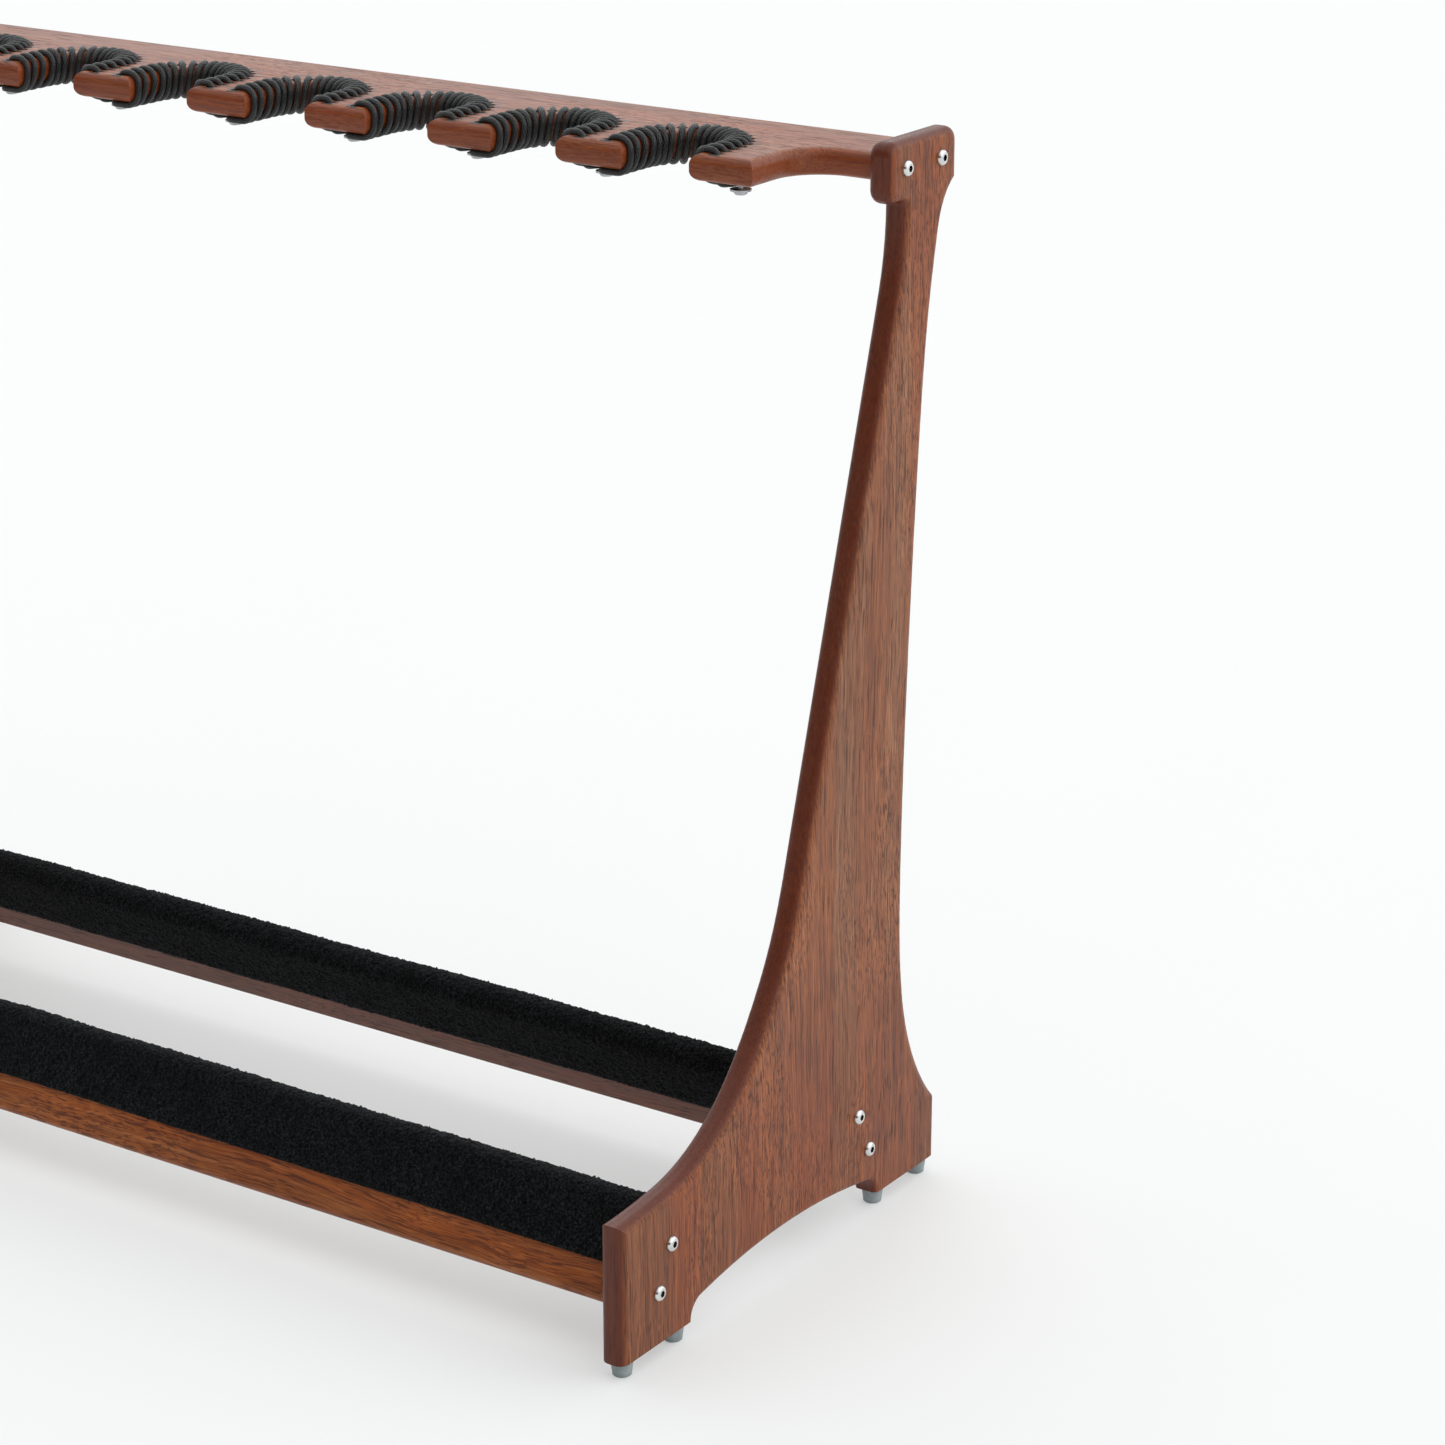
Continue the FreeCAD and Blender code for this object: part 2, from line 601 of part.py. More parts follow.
# ---------------------------------------------------------------- cord clamps
def clamp_washer(x):
    top = BOARD_BOTTOM_Z - 2 * CORD_R - 2 * SOFT_GAP
    profile = [(CLAMP_SCREW_R + FIT, 0), (WASHER_R, 0), (WASHER_R, WASHER_THICK),
               (CLAMP_SCREW_R + FIT, WASHER_THICK)]
    return turned(profile, Vector(x, CLAMP_Y, top - WASHER_THICK), Z_AXIS)


def clamp_screw(x):
    head_top = BOARD_BOTTOM_Z - 2 * CORD_R - 2 * SOFT_GAP - WASHER_THICK
    base = Vector(x, CLAMP_Y, head_top - FOOT_SCREW_HEAD)
    length = BOARD_MID_Z - base.z
    return wood_screw(base, Z_AXIS, CLAMP_HEAD_R, FOOT_SCREW_HEAD, CLAMP_SCREW_R, length)


# ---------------------------------------------------------------- assembly
os.makedirs("parts", exist_ok=True)

panel = end_panel()
save("end_panel_right", [panel])
save("end_panel_left", [panel.mirror(Vector(0, 0, 0), X_AXIS)])
save("neck_board", [neck_board()])

for which in ("front", "rear"):
    save(which + "_rail", [rail_board(which)])
    save(which + "_rail_foam", [rail_foam(which)])
    save(which + "_rail_plush", [rail_plush(which)])

for board_name, points in bolt_points().items():
    bolts = []
    inserts = []
    for y, z in points:
        for side in (-1, 1):
            inward = X_AXIS * -side
            bolts.append(socket_bolt(Vector(side * OUTER_X, y, z), inward))
            inserts.append(insert(Vector(side * INNER_X, y, z), inward))
    save(board_name + "_bolts", bolts)
    save(board_name + "_inserts", inserts)

for number, x in enumerate(notch_xs, 1):
    stitched = round_bar(cord_route(), CORD_R)
    stitched.translate(Vector(x, 0, 0))
    save("neck_cord_%d" % number, [stitched])

foot_x = OUTER_X - STOCK / 2
save("feet_right", [foot(foot_x, y) for y in FOOT_Y])
save("feet_left", [foot(-foot_x, y) for y in FOOT_Y])
save("foot_screws", [foot_screw(side * foot_x, y) for side in (-1, 1) for y in FOOT_Y])
save("cord_clamp_washers", [clamp_washer(x) for x in clamp_xs])
save("cord_clamp_screws", [clamp_screw(x) for x in clamp_xs])
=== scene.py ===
import bpy
import math
import numpy as np
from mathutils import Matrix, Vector


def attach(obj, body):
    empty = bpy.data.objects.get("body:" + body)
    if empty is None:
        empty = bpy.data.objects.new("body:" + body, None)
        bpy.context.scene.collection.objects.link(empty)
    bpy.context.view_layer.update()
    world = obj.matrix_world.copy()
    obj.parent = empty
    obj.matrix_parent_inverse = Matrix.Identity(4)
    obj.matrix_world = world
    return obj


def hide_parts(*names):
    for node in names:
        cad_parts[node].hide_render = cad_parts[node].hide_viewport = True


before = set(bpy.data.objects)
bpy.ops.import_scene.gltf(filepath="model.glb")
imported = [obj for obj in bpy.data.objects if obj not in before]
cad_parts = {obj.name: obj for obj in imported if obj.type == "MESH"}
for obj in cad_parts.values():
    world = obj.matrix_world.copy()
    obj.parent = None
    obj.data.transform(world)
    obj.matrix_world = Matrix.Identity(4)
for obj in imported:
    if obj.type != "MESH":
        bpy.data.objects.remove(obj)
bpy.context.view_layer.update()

MM = 0.001
rng = np.random.default_rng(7)

# Sizes are in mm, and MM turns them into the frame's metres.
# ---------------------------------------------------------------- boards
Y_SHIFT = -2.75
STOCK = 18.0
NOTCH_COUNT = 7
NOTCH_PITCH = 104.0
NOTCH_WIDTH = 52.0
END_TO_NOTCH = 141.0
LENGTH = 2 * END_TO_NOTCH + (NOTCH_COUNT - 1) * NOTCH_PITCH
OUTER_X = LENGTH / 2
INNER_X = OUTER_X - STOCK
BOARD_MID_Z = 715.3
BOARD_TOP_Z = BOARD_MID_Z + STOCK / 2
BOARD_BOTTOM_Z = BOARD_MID_Z - STOCK / 2
BOARD_ROUND = 7.0
NOTCH_CENTRE_Y = 90.0
PANEL_MIDDLE_Z = 390.0
SHADE_START = 150.0         # from a panel's middle to where its wood starts to turn redder
SHADE_END = 310.0           # and to where it is reddest
DARK_BAND_HEIGHT = 4.0           # of the darker foot of a rubber foot

# ---------------------------------------------------------------- stitch holes and cords
HOLE_R = 2.7
HOLE_REACH = 1.65 * HOLE_R  # from a hole's middle to past its countersink
HOLE_INSET = 15.5           # from the edge of a notch to the line of its holes
FIRST_HOLE_Y = 65.5
FACE_DEPTH = 0.06           # a face of the board reaches this deep, the walls of its holes lie deeper
HOLE_SHADOW_LENGTH = 11.0          # length of the pointed painted shadow behind each stitch hole
HOLE_SHADOW_HALF_WIDTH = 3.2
HOLE_SHADOW_SOFTNESS = 0.5
CORD_R = 2.08
CORD_LIFT = CORD_R          # the cord lies on the wood
CORD_HOLES = 21
CORD_BEND = 4.6             # radius of the bend at the mouth of a hole
BEND_STEPS = 4
SWING_STEPS = 6
HOLE_STRAIGHT = 1.5         # straight cord in a hole, next to its bend
STITCH_LEAN = 0.30
STITCH_SLACK = 0.20
CORD_STEP = 1.0
CORD_SIDES = 16
BRAID_LENGTH = 4.6
BRAID_RELIEF = 0.025        # share of the cord's radius
RELIEF_STRANDS = 4
DRAWN_STRANDS = 8
TAIL_STEP = 4.5
TAIL_SIDE = 4.8             # from the clamp screw's axis to the first tail
TAIL_TURN = 4.4
TAIL_OVERRUN = 5.0
TAIL_SPACING = 2.5
CLAMP_X = NOTCH_PITCH / 2
CLAMP_Y = 76.0

# ---------------------------------------------------------------- padded rails
RAIL_LEAN = math.radians(25.5)
RAILS = {"front": ((-142.0, 62.0), RAIL_LEAN), "rear": ((93.0, 64.0), -RAIL_LEAN)}
RAIL_HALF = 31.5
PLUSH_TOPS = {"front": 41.7, "rear": 42.4}
PLUSH_START = -6.5
PLUSH_OUTER = 12.0          # half widths of the plush skin, outside and inside
PLUSH_INNER = 9.15
PLUSH_THICK_TOP = 2.6
PLUSH_END_GAP = 0.2         # to the end panels
PLUSH_GRAIN = 1.1
PILE_HEIGHT = 1.15
HAIR_HEIGHT = 1.0
HAIR_RARITY = 1.1           # a normal draw above this raises a hair
HAIR_LIMIT = 0.75
CLUMP_HEIGHT = 0.15
CLUMP_REACH = (2, 2)        # in points of the mesh, along the rail and around the plush
SWELL_HEIGHT = 0.22
SWELL_REACH = (50, 18)
PILE_SINK = 0.50            # the pile's foot lies this far inside the smooth skin
FOAM_HALF = 8.8
FOAM_BELOW_PLUSH = 3.2      # from the top of the plush to the top of the foam
FOAM_GRAIN = 1.6
FOAM_COLUMNS = 400
FOAM_END_GAP = 1.0
FOAM_ROUGHNESS = 0.10
FOAM_SINK = 0.2

HOLE_LINE_R = NOTCH_WIDTH / 2 + HOLE_INSET
HOLE_LEG = NOTCH_CENTRE_Y - FIRST_HOLE_Y
HOLE_LINE = 2 * HOLE_LEG + math.pi * HOLE_LINE_R
HOLE_STEP = HOLE_LINE / (CORD_HOLES - 1)
notch_xs = [(i - (NOTCH_COUNT - 1) / 2) * NOTCH_PITCH for i in range(NOTCH_COUNT)]


# ---------------------------------------------------------------- material helpers
class Shader:
    """A material with short calls for the few nodes this scene uses."""

    def __init__(self, name):
        self.mat = bpy.data.materials.new(name)
        self.mat.use_nodes = True
        self.tree = self.mat.node_tree
        self.tree.nodes.clear()
        out = self.node("ShaderNodeOutputMaterial")
        self.bsdf = self.node("ShaderNodeBsdfPrincipled")
        self.link(self.bsdf.outputs[0], out.inputs["Surface"])
        self.coords = self.node("ShaderNodeTexCoord")

    def node(self, kind, **props):
        made = self.tree.nodes.new(kind)
        for key, value in props.items():
            setattr(made, key, value)
        return made

    def link(self, a, b):
        self.tree.links.new(a, b)

    def put(self, value, socket):
        if isinstance(value, bpy.types.NodeSocket):
            self.link(value, socket)
        else:
            socket.default_value = value

    def set(self, **values):
        for key, value in values.items():
            self.put(value, self.bsdf.inputs[key.replace("_", " ")])

    def math(self, op, a, b=0.0):
        made = self.node("ShaderNodeMath", operation=op)
        self.put(a, made.inputs[0])
        self.put(b, made.inputs[1])
        return made.outputs[0]

    def vector(self, op, a, b):
        made = self.node("ShaderNodeVectorMath", operation=op)
        self.put(a, made.inputs[0])
        self.put(b, made.inputs[1])
        return made.outputs[0]

    def split(self, vector):
        made = self.node("ShaderNodeSeparateXYZ")
        self.link(vector, made.inputs[0])
        return made.outputs

    def place(self):
        """Where a point of the surface lies, in the object's own metres."""
        return self.coords.outputs["Object"]

    def noise(self, vector, scale=1.0, detail=2.0, rough=0.5, colour=False):
        made = self.node("ShaderNodeTexNoise")
        self.put(vector, made.inputs["Vector"])
        made.inputs["Scale"].default_value = scale
        made.inputs["Detail"].default_value = detail
        made.inputs["Roughness"].default_value = rough
        return made.outputs["Color" if colour else "Fac"]

    def ramp(self, value, low, high, out_low=0.0, out_high=1.0):
        """out_low below low, out_high above high, and a smooth step between."""
        made = self.node("ShaderNodeMapRange", interpolation_type="SMOOTHSTEP")
        self.put(value, made.inputs["Value"])
        made.inputs["From Min"].default_value = low
        made.inputs["From Max"].default_value = high
        made.inputs["To Min"].default_value = out_low
        made.inputs["To Max"].default_value = out_high
        return made.outputs[0]

    def vary(self, noise, low, high):
        """A noise's usual range, spread from low to high."""
        return self.ramp(noise, 0.3, 0.7, low, high)

    def mix(self, factor, a, b, kind="MIX"):
        made = self.node("ShaderNodeMix", data_type="RGBA", blend_type=kind)
        self.put(factor, made.inputs[0])
        self.put(a, made.inputs[6])
        self.put(b, made.inputs[7])
        return made.outputs[2]

    def tint(self, colour, filter_colour):
        """A colour seen through a coloured filter."""
        return self.mix(1.0, colour, filter_colour, "MULTIPLY")

    def grey(self, value):
        made = self.node("ShaderNodeCombineXYZ")
        for socket in made.inputs:
            self.put(value, socket)
        return made.outputs[0]

    def bump(self, height, strength, distance):
        made = self.node("ShaderNodeBump")
        made.inputs["Strength"].default_value = strength
        made.inputs["Distance"].default_value = distance
        self.put(height, made.inputs["Height"])
        self.link(made.outputs[0], self.bsdf.inputs["Normal"])


def rgb(r, g, b):
    """A colour as a shader socket takes it."""
    return (r, g, b, 1.0)


# ---------------------------------------------------------------- materials
def painted_hole_shade(sh):
    """Painted shade: 1 on the walls inside the stitch holes of the neck board and on a pointed painted
    shadow behind each hole.
    """
    x, y, z = sh.split(sh.place())
    centre_y = (NOTCH_CENTRE_Y + Y_SHIFT) * MM
    line_r = HOLE_LINE_R * MM
    across = sh.math("PINGPONG", x, NOTCH_PITCH / 2 * MM)
    back = sh.math("MAXIMUM", sh.math("SUBTRACT", y, centre_y), 0.0)
    reach = sh.math("SQRT", sh.math("ADD", sh.math("POWER", across, 2.0), sh.math("POWER", back, 2.0)))
    off_line = sh.math("ABSOLUTE", sh.math("SUBTRACT", reach, line_r))
    near_line = sh.math("LESS_THAN", off_line, HOLE_REACH * MM)
    depth = sh.math("ABSOLUTE", sh.math("SUBTRACT", z, BOARD_MID_Z * MM))
    inside = sh.math("LESS_THAN", depth, (STOCK / 2 - FACE_DEPTH) * MM)
    walls = sh.math("MULTIPLY", near_line, inside)

    leg = sh.math("MAXIMUM", sh.math("SUBTRACT", centre_y, y), 0.0)
    never_zero = 1e-6
    turn = sh.math("ARCTAN2", across, sh.math("MAXIMUM", back, never_zero))
    travelled = sh.math("ADD", sh.math("MULTIPLY", turn, line_r), leg)
    beside = sh.math("PINGPONG", travelled, HOLE_STEP / 2 * MM)
    beyond = sh.math("MAXIMUM", sh.math("SUBTRACT", reach, line_r), 0.0)
    taper = sh.ramp(beyond, 0.0, HOLE_SHADOW_LENGTH * MM, HOLE_SHADOW_HALF_WIDTH * MM, 0.0)
    inner_side = sh.math("GREATER_THAN", reach, line_r - HOLE_R * MM)
    shadow_tip = sh.ramp(sh.math("SUBTRACT", taper, beside), 0.0, HOLE_SHADOW_SOFTNESS * MM)
    shadow_tip = sh.math("MULTIPLY", shadow_tip, inner_side)

    behind_mouth = sh.math("GREATER_THAN", y, (FIRST_HOLE_Y - 2 * HOLE_R + Y_SHIFT) * MM)
    row = sh.math("LESS_THAN", sh.math("ABSOLUTE", x), NOTCH_COUNT / 2 * NOTCH_PITCH * MM)
    stitched = sh.math("MULTIPLY", behind_mouth, row)
    return sh.math("MULTIPLY", sh.math("MAXIMUM", walls, shadow_tip), stitched)


def painted_edge_shade(sh, body, mid, axis, edge_shade_tint):
    """Smoother wood with painted shade on the rounded edges of a board that faces along one axis: the
    further a face turns from the axis, the darker and redder it is painted.
    """
    geometry = sh.node("ShaderNodeNewGeometry")
    facing = sh.math("ABSOLUTE", sh.split(geometry.outputs["Normal"])[axis])
    turned_away, flat = 0.62, 0.985
    rounded = sh.ramp(facing, turned_away, flat, 1.0, 0.0)
    body = sh.mix(sh.math("MULTIPLY", rounded, 0.55), body, mid)
    return sh.mix(rounded, body, sh.tint(body, rgb(*edge_shade_tint)))


def wood(name, along, shift, dark, mid, light, edge_axis=None, edge_shade_tint=(0.50, 0.31, 0.24),
         holes=False, rear_shade=None, end_shade=None):
    """Oiled hardwood with long fibres, pores and a wavy figure; the grain runs along one axis.

    rear_shade paints shade on what lies behind the middle, the rear rail in the shadow of its plush;
    end_shade darkens the upper and lower end of a panel.
    """
    sh = Shader(name)
    across_only = Vector([0.0 if i == along else 1.0 for i in range(3)])

    def stretched(base, across, lengthwise):
        scale = [lengthwise if i == along else across for i in range(3)]
        return sh.vector("MULTIPLY", base, scale)

    place = sh.vector("ADD", sh.place(), shift)
    drift = sh.noise(stretched(place, 6.0, 2.6), 1.0, 2.0, 0.5, colour=True)
    drift = sh.vector("MULTIPLY", sh.vector("SUBTRACT", drift, (0.5, 0.5, 0.5)), across_only * 0.030)
    curl = sh.noise(stretched(place, 22.0, 26.0), 1.0, 2.0, 0.5, colour=True)
    curl = sh.vector("MULTIPLY", sh.vector("SUBTRACT", curl, (0.5, 0.5, 0.5)), across_only * 0.0042)
    place = sh.vector("ADD", sh.vector("ADD", place, drift), curl)

    broad = sh.noise(stretched(place, 26.0, 0.8), 1.0, 2.0, 0.5)
    ribbon = sh.noise(stretched(place, 210.0, 2.8), 1.0, 3.0, 0.6)
    fibre = sh.noise(stretched(place, 800.0, 13.0), 1.0, 3.0, 0.7)
    fine = sh.noise(stretched(place, 1500.0, 60.0), 1.0, 2.0, 0.6)
    long_pores = sh.noise(stretched(place, 760.0, 30.0), 1.0, 1.0, 0.4)
    short_pores = sh.noise(stretched(place, 900.0, 150.0), 1.0, 1.0, 0.5)
    mottle = sh.noise(stretched(place, 16.0, 7.0), 1.0, 2.0, 0.5)

    tone = sh.math("ADD", sh.math("MULTIPLY", ribbon, 0.36), sh.math("MULTIPLY", fibre, 0.64))
    body = sh.mix(sh.ramp(tone, 0.37, 0.50), dark, mid)
    body = sh.mix(sh.ramp(tone, 0.50, 0.64), body, light)
    grey_brown = sh.tint(body, rgb(0.92, 1.14, 1.62))
    body = sh.mix(sh.ramp(broad, 0.42, 0.60), body, grey_brown)
    body = sh.tint(body, sh.grey(sh.ramp(fine, 0.30, 0.72, 0.78, 1.20)))
    patch = sh.ramp(mottle, 0.44, 0.58)
    body = sh.tint(body, sh.grey(sh.vary(mottle, 0.90, 1.10)))
    pore = sh.math("MAXIMUM", sh.ramp(long_pores, 0.585, 0.66),
                   sh.math("MULTIPLY", sh.ramp(short_pores, 0.56, 0.64), patch))
    body = sh.mix(sh.math("MULTIPLY", pore, 0.68), body, [c * 0.40 for c in dark[:3]] + [1.0])
    glint = sh.math("MULTIPLY", sh.ramp(short_pores, 0.42, 0.34), patch)
    body = sh.mix(sh.math("MULTIPLY", glint, 0.35), body, light)
    if end_shade is not None:
        z = sh.split(sh.place())[2]
        from_middle = sh.math("ABSOLUTE", sh.math("SUBTRACT", z, PANEL_MIDDLE_Z * MM))
        ends = sh.ramp(from_middle, SHADE_START * MM, SHADE_END * MM)
        body = sh.mix(ends, body, sh.tint(body, rgb(*end_shade)))
    if edge_axis is not None:
        # Painted shade on the rounded edges.
        body = painted_edge_shade(sh, body, mid, edge_axis, edge_shade_tint)
    if rear_shade is not None:
        # Painted shade on the rear rail, which lies in the shadow of its plush.
        in_rear = sh.math("GREATER_THAN", sh.split(sh.place())[1], 0.0)
        body = sh.mix(in_rear, body, sh.tint(body, rgb(*rear_shade)))
    if holes:
        # Painted shade: the hole walls and the pointed shadow behind each hole are painted nearly black.
        body = sh.mix(sh.math("MULTIPLY", painted_hole_shade(sh), 0.93), body, rgb(0.006, 0.004, 0.003))
    sh.set(Base_Color=body)
    rough = sh.vary(fibre, 0.34, 0.46)
    sh.set(Roughness=sh.math("ADD", rough, sh.math("MULTIPLY", pore, 0.15)))
    sh.set(Specular_IOR_Level=0.36)
    height = sh.math("SUBTRACT", sh.math("MULTIPLY", fibre, 0.35), sh.math("MULTIPLY", pore, 0.8))
    height = sh.math("ADD", height, sh.math("MULTIPLY", fine, 0.25))
    sh.bump(height, 0.30, 0.00020)
    return sh.mat


def plush_material():
    """Black pile: nearly black between the hairs, with a faint sheen on their tips."""
    sh = Shader("plush_pile")
    place = sh.place()
    pile = sh.noise(place, 640.0, 3.0, 0.75)
    patches = sh.noise(place, 30.0, 3.0, 0.55)
    tufts = sh.noise(place, 520.0, 3.0, 0.7)
    tone = sh.math("MULTIPLY", sh.ramp(pile, 0.44, 0.66, 0.25, 10.0),
                   sh.vary(patches, 0.80, 1.25))
    sh.set(Base_Color=sh.tint(rgb(0.0018, 0.0020, 0.0022), sh.grey(tone)))
    sh.set(Roughness=sh.vary(tufts, 0.86, 1.0))
    sh.set(Specular_IOR_Level=0.06, Sheen_Weight=0.065, Sheen_Roughness=0.50)
    sh.set(Sheen_Tint=rgb(0.86, 0.89, 0.92))
    sh.bump(sh.math("ADD", pile, tufts), 0.9, 0.0008)
    return sh.mat


def foam_material():
    """Dark open foam, with its cells as fine relief."""
    sh = Shader("foam_cells")
    place = sh.place()
    cells = sh.node("ShaderNodeTexVoronoi")
    sh.link(place, cells.inputs["Vector"])
    cells.inputs["Scale"].default_value = 900.0
    tone = sh.ramp(cells.outputs["Distance"], 0.1, 0.7, 0.035, 0.085)
    sh.set(Base_Color=sh.grey(tone), Roughness=sh.vary(sh.noise(place, 300.0), 0.85, 1.0))
    sh.bump(cells.outputs["Distance"], 0.6, 0.0006)
    return sh.mat


def cord_material():
    """Braided cord: two crossing sets of strands drawn in the cord's own length and turn."""
    sh = Shader("cord_braid")
    own_map = sh.node("ShaderNodeUVMap", uv_map="cord")
    length, turn, _ = sh.split(own_map.outputs[0])
    strands = []
    for sign in (1.0, -1.0):
        phase = sh.math("ADD", sh.math("MULTIPLY", turn, DRAWN_STRANDS * 2 * math.pi),
                        sh.math("MULTIPLY", length, sign * 2 * math.pi))
        strands.append(sh.math("SINE", phase))
    weave = sh.math("MAXIMUM", strands[0], strands[1])
    place = sh.place()
    lint = sh.noise(place, 1800.0, 2.0, 0.6)
    wear = sh.noise(place, 90.0, 3.0, 0.5)
    # Painted shade and highlight: the colour is darker in the grooves between the drawn strands and
    # lighter on their crowns.
    tone = sh.math("MULTIPLY", sh.ramp(weave, -0.4, 1.0, 0.40, 1.25), sh.vary(lint, 0.6, 1.4))
    tone = sh.math("MULTIPLY", tone, sh.vary(wear, 0.75, 1.25))
    sh.set(Base_Color=sh.tint(rgb(0.0034, 0.0038, 0.0041), sh.grey(tone)))
    sh.set(Roughness=sh.ramp(weave, -0.3, 1.0, 0.58, 0.33))
    sh.set(Specular_IOR_Level=0.55, Sheen_Weight=0.018, Sheen_Roughness=0.40)
    sh.set(Sheen_Tint=rgb(0.80, 0.90, 0.90))
    sh.bump(weave, 0.9, 0.00020)
    return sh.mat


def steel_material(name, tone, rough_low, rough_high):
    """Turned steel; its recesses carry painted shade and read dark."""
    sh = Shader(name)
    place = sh.place()
    brushed = sh.noise(sh.vector("MULTIPLY", place, (600.0, 5200.0, 5200.0)), 1.0, 3.0, 0.6)
    smudge = sh.noise(place, 160.0, 3.0, 0.5)
    # Painted shade: ambient occlusion darkens the steel's colour in its recesses, the hex sockets most.
    hollow = sh.node("ShaderNodeAmbientOcclusion", only_local=True, samples=6)
    hollow.inputs["Distance"].default_value = 0.0030
    open_sky = sh.ramp(hollow.outputs["AO"], 0.35, 0.85, 0.02, 1.0)
    shade = sh.math("MULTIPLY", sh.vary(smudge, 0.88, 1.05), open_sky)
    sh.set(Base_Color=sh.tint(rgb(*tone), sh.grey(shade)), Metallic=1.0)
    sh.set(Roughness=sh.vary(brushed, rough_low, rough_high))
    sh.bump(brushed, 0.12, 0.00004)
    return sh.mat


def brass_material():
    """Plain brass, tarnished in patches."""
    sh = Shader("insert_brass")
    place = sh.place()
    tarnish = sh.noise(place, 220.0, 4.0, 0.6)
    sh.set(Base_Color=sh.mix(sh.ramp(tarnish, 0.35, 0.65), rgb(0.72, 0.50, 0.20), rgb(0.50, 0.33, 0.14)))
    sh.set(Metallic=1.0, Roughness=sh.vary(tarnish, 0.28, 0.48))
    sh.bump(tarnish, 0.1, 0.00005)
    return sh.mat


def rubber_material():
    """Grey rubber with a pale bloom, a little darker where it meets the floor."""
    sh = Shader("foot_rubber")
    place = sh.place()
    grain = sh.noise(place, 2600.0, 2.0, 0.5)
    bloom = sh.noise(place, 170.0, 4.0, 0.6)
    tone = sh.mix(sh.ramp(bloom, 0.35, 0.65), rgb(0.225, 0.265, 0.270), rgb(0.295, 0.330, 0.335))
    tone = sh.tint(tone, sh.grey(sh.vary(grain, 0.9, 1.1)))
    # Darker towards the bottom, where the foot meets the floor.
    near_floor = sh.ramp(sh.split(place)[2], 0.0, DARK_BAND_HEIGHT * MM, 0.80, 1.0)
    sh.set(Base_Color=sh.tint(tone, sh.grey(near_floor)))
    sh.set(Roughness=sh.vary(bloom, 0.50, 0.68), Specular_IOR_Level=0.40)
    sh.bump(grain, 0.25, 0.0001)
    return sh.mat


def dress(material, *nodes):
    """Give the CAD's own meshes a material."""
    for name in nodes:
        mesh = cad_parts[name].data
        mesh.materials.clear()
        mesh.materials.append(material)


# ---------------------------------------------------------------- mesh helpers
def add_object(name, data):
    made = bpy.data.objects.new(name, data)
    bpy.context.scene.collection.objects.link(made)
    return made


def ring_quads(rings, around):
    """Faces between neighbouring rings of points, each ring closed."""
    quads = []
    for i in range(rings - 1):
        for k in range(around):
            after = (k + 1) % around
            quads.append((i * around + k, (i + 1) * around + k,
                          (i + 1) * around + after, i * around + after))
    return quads


def smooth_object(name, verts, faces, material):
    """Smooth-shaded object from points in mm."""
    mesh = bpy.data.meshes.new(name)
    mesh.from_pydata([tuple(v) for v in verts * MM], [], faces)
    mesh.polygons.foreach_set("use_smooth", [True] * len(mesh.polygons))
    mesh.materials.append(material)
    mesh.update()
    return add_object(name, mesh)


def distances(points):
    """Distance travelled from the first point to each point."""
    return np.concatenate([[0], np.cumsum(np.linalg.norm(np.diff(points, axis=0), axis=1))])


# ---------------------------------------------------------------- neck cords
def hole_frame(s):
    """Point (x, y) on the line of holes at distance s, with the direction towards the notch."""
    if s < HOLE_LEG:
        return (-HOLE_LINE_R, FIRST_HOLE_Y + s), (1.0, 0.0)
    if s > HOLE_LINE - HOLE_LEG:
        return (HOLE_LINE_R, FIRST_HOLE_Y + HOLE_LINE - s), (-1.0, 0.0)
    turn = math.pi - (s - HOLE_LEG) / HOLE_LINE_R
    out = (math.cos(turn), math.sin(turn))
    return (HOLE_LINE_R * out[0], NOTCH_CENTRE_Y + HOLE_LINE_R * out[1]), (-out[0], -out[1])


def loop_section():
    """(n, z, share) from a hole's underside, round the edge of the board, to its top."""
    swing = BOARD_ROUND + CORD_LIFT
    knee = HOLE_INSET - BOARD_ROUND
    dip = CORD_BEND - CORD_LIFT
    bend = [math.pi / 2 * i / BEND_STEPS for i in range(BEND_STEPS + 1)]
    quarter = [math.pi / 2 * i / SWING_STEPS for i in range(SWING_STEPS + 1)]
    entry = [(CORD_BEND * (1 - math.cos(t)), CORD_BEND * math.sin(t)) for t in bend]
    sweep = [(knee + swing * math.sin(t), swing * math.cos(t)) for t in quarter]
    side = [(n, BOARD_BOTTOM_Z + BOARD_ROUND - d) for n, d in sweep]
    side.append((knee + swing, BOARD_MID_Z))
    side += [(n, BOARD_TOP_Z - BOARD_ROUND + d) for n, d in reversed(sweep)]
    between = (CORD_BEND + knee) / 2
    stations = [(0.0, BOARD_BOTTOM_Z + dip + HOLE_STRAIGHT, 0.0)]
    stations += [(n, BOARD_BOTTOM_Z + dip - d, 0.0) for n, d in entry]
    stations.append((between, BOARD_BOTTOM_Z - CORD_LIFT, 0.0))
    stations += [(n, z, i / (len(side) - 1)) for i, (n, z) in enumerate(side)]
    stations.append((between, BOARD_TOP_Z + CORD_LIFT, 1.0))
    stations += [(n, BOARD_TOP_Z - dip + d, 1.0) for n, d in reversed(entry)]
    stations.append((0.0, BOARD_TOP_Z - dip - HOLE_STRAIGHT, 1.0))
    return stations


def steps_between(start, end, spacing):
    """Evenly spaced values from start up to, but not including, end."""
    count = round(abs(end - start) / spacing)
    return [start + (end - start) * i / count for i in range(count)]


